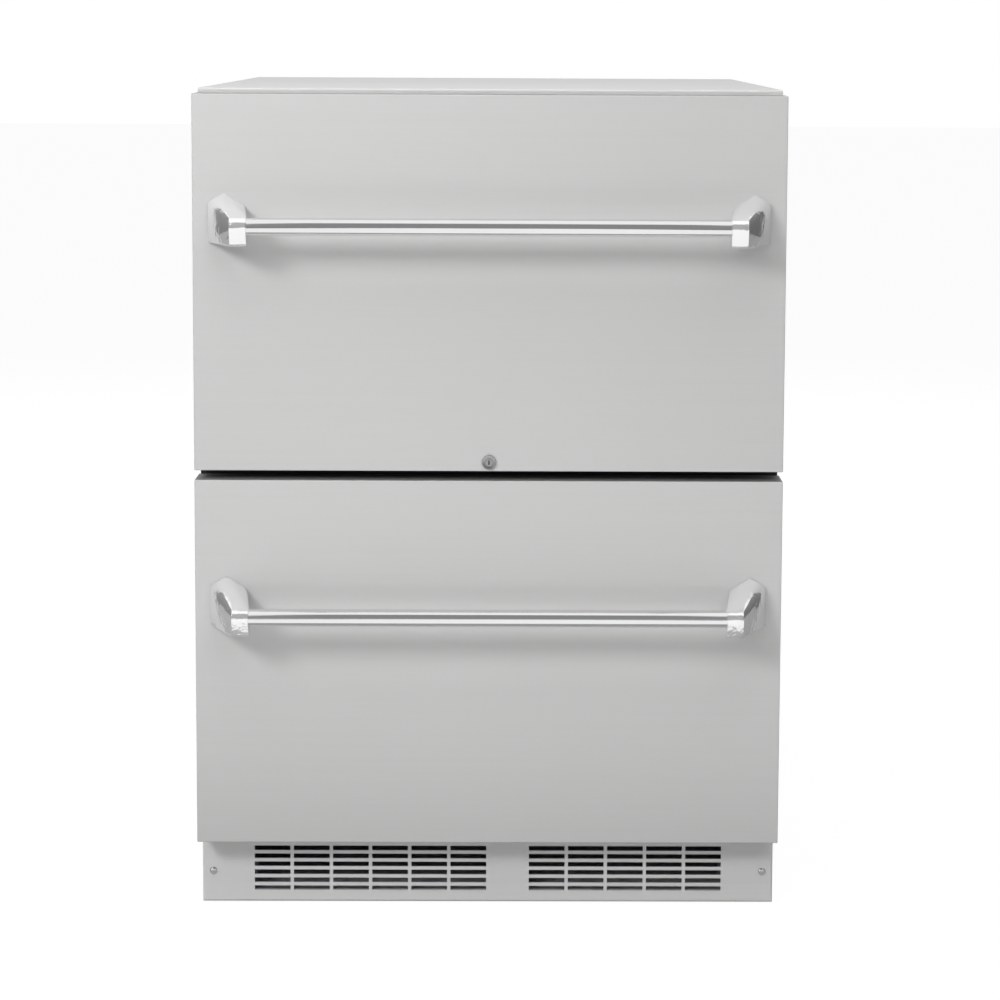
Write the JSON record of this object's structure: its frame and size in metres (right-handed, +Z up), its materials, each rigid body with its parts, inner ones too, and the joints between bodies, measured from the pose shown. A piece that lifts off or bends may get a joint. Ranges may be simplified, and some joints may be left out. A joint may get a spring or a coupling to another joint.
{
  "type": "undercounter drawer refrigerator",
  "caption": "Undercounter refrigerator with stacked pull-out drawers, bar handles on cast brackets, a key lock, a vented toe grille, ball slides and levelling legs.",
  "frame": {"origin": "on the floor under the middle of the bounding box", "axes": "+Z up, the drawers open towards -Y, +X to the right when seen from the front"},
  "size_m": [0.606, 0.6598, 0.864],
  "materials": {
    "stainless": "satin",
    "polished_metal": "polished",
    "galvanised": "satin",
    "black_frame": "satin",
    "liner_white": "satin",
    "foam": "matte",
    "gasket_rubber": "matte",
    "black_plastic": "matte",
    "compressor_black": "satin",
    "zinc": "satin",
    "copper": "satin",
    "coil_aluminium": "satin",
    "lens": "satin"
  },
  "bodies": {
    "cabinet": {"top_panel": "stainless", "left_side_panel": "stainless", "right_side_panel": "stainless", "back_panel": "galvanised", "face_frame": "black_frame", "mullion": "black_plastic", "inner_liner": "liner_white", "insulation": "foam", "bay_liner": "galvanised", "base_pan": "galvanised", "machine_cover": "galvanised", "toe_grille": "stainless", "grille_screws": "polished_metal", "lock_keeper": "zinc", "compressor": "compressor_black", "compressor_mounts": "gasket_rubber", "condenser": "compressor_black", "condenser_fan_frame": "black_plastic", "drain_pan": "black_plastic", "refrigerant_lines": "copper", "cord_gland": "black_plastic", "evaporator": "coil_aluminium", "evaporator_cover": "liner_white", "circulation_fan_frame": "black_plastic", "thermostat_housing": "liner_white", "light_lens": "lens", "upper_outer_rails": "zinc", "lower_outer_rails": "zinc"},
    "upper_drawer": {"upper_front_skin": "stainless", "upper_front_foam": "foam", "upper_inner_panel": "liner_white", "upper_gasket": "gasket_rubber", "upper_box": "stainless", "upper_handle_bar": "polished_metal", "upper_handle_brackets": "polished_metal", "upper_inner_rails": "zinc", "lock_barrel": "polished_metal"},
    "lower_drawer": {"lower_front_skin": "stainless", "lower_front_foam": "foam", "lower_inner_panel": "liner_white", "lower_gasket": "gasket_rubber", "lower_box": "stainless", "lower_handle_bar": "polished_metal", "lower_handle_brackets": "polished_metal", "lower_inner_rails": "zinc"},
    "upper_middle_slide": {"upper_middle_rails": "zinc"},
    "lower_middle_slide": {"lower_middle_rails": "zinc"},
    "upper_outer_cage": {"upper_outer_cages": "zinc"},
    "upper_inner_cage": {"upper_inner_cages": "zinc"},
    "lower_outer_cage": {"lower_outer_cages": "zinc"},
    "lower_inner_cage": {"lower_inner_cages": "zinc"},
    "lock_plug": {"lock_plug": "polished_metal", "lock_cam": "zinc"},
    "condenser_fan": {"condenser_fan_rotor": "black_plastic"},
    "circulation_fan": {"circulation_fan_rotor": "black_plastic"},
    "thermostat_knob": {"thermostat_knob": "black_plastic"},
    "leg_front_left": {"leg_front_left": "zinc"},
    "leg_front_right": {"leg_front_right": "zinc"},
    "leg_rear_left": {"leg_rear_left": "zinc"},
    "leg_rear_right": {"leg_rear_right": "zinc"}
  },
  "joints": [
    {"name": "upper_drawer_slide", "type": "slide", "parent": "cabinet", "child": "upper_drawer", "axis": [0, -1, 0], "range_m": [0, 0.38]},
    {"name": "upper_middle_slide_travel", "type": "slide", "parent": "cabinet", "child": "upper_middle_slide", "axis": [0, -1, 0], "range_m": [0, 0.19]},
    {"name": "upper_outer_cage_travel", "type": "slide", "parent": "cabinet", "child": "upper_outer_cage", "axis": [0, -1, 0], "range_m": [0, 0.095]},
    {"name": "upper_inner_cage_travel", "type": "slide", "parent": "cabinet", "child": "upper_inner_cage", "axis": [0, -1, 0], "range_m": [0, 0.285]},
    {"name": "lower_drawer_slide", "type": "slide", "parent": "cabinet", "child": "lower_drawer", "axis": [0, -1, 0], "range_m": [0, 0.265]},
    {"name": "lower_middle_slide_travel", "type": "slide", "parent": "cabinet", "child": "lower_middle_slide", "axis": [0, -1, 0], "range_m": [0, 0.1325]},
    {"name": "lower_outer_cage_travel", "type": "slide", "parent": "cabinet", "child": "lower_outer_cage", "axis": [0, -1, 0], "range_m": [0, 0.06625]},
    {"name": "lower_inner_cage_travel", "type": "slide", "parent": "cabinet", "child": "lower_inner_cage", "axis": [0, -1, 0], "range_m": [0, 0.19875]},
    {"name": "lock_turn", "type": "hinge", "parent": "upper_drawer", "child": "lock_plug", "pos_m": [0, -0.27008, 0.4815], "axis": [0, 1, 0], "range_deg": [0, 90]},
    {"name": "condenser_fan_spin", "type": "hinge", "parent": "cabinet", "child": "condenser_fan", "pos_m": [-0.1658, 0.182, 0.1105], "axis": [0, 1, 0], "continuous": true},
    {"name": "circulation_fan_spin", "type": "hinge", "parent": "cabinet", "child": "circulation_fan", "pos_m": [0, 0.238, 0.651], "axis": [0, 1, 0], "continuous": true},
    {"name": "thermostat_turn", "type": "hinge", "parent": "cabinet", "child": "thermostat_knob", "pos_m": [-0.064, -0.203, 0.809], "axis": [0, -1, 0], "range_deg": [0, 270]},
    {"name": "leg_front_left_screw", "type": "slide", "parent": "cabinet", "child": "leg_front_left", "axis": [0, 0, -1], "range_m": [0, 0.02]},
    {"name": "leg_front_right_screw", "type": "slide", "parent": "cabinet", "child": "leg_front_right", "axis": [0, 0, -1], "range_m": [0, 0.02]},
    {"name": "leg_rear_left_screw", "type": "slide", "parent": "cabinet", "child": "leg_rear_left", "axis": [0, 0, -1], "range_m": [0, 0.02]},
    {"name": "leg_rear_right_screw", "type": "slide", "parent": "cabinet", "child": "leg_rear_right", "axis": [0, 0, -1], "range_m": [0, 0.02]}
  ],
  "couplings": [
    {"joint": "upper_middle_slide_travel", "follows": "upper_drawer_slide", "ratio": 0.5},
    {"joint": "upper_outer_cage_travel", "follows": "upper_drawer_slide", "ratio": 0.25},
    {"joint": "upper_inner_cage_travel", "follows": "upper_drawer_slide", "ratio": 0.75},
    {"joint": "lower_middle_slide_travel", "follows": "lower_drawer_slide", "ratio": 0.5},
    {"joint": "lower_outer_cage_travel", "follows": "lower_drawer_slide", "ratio": 0.25},
    {"joint": "lower_inner_cage_travel", "follows": "lower_drawer_slide", "ratio": 0.75}
  ]
}
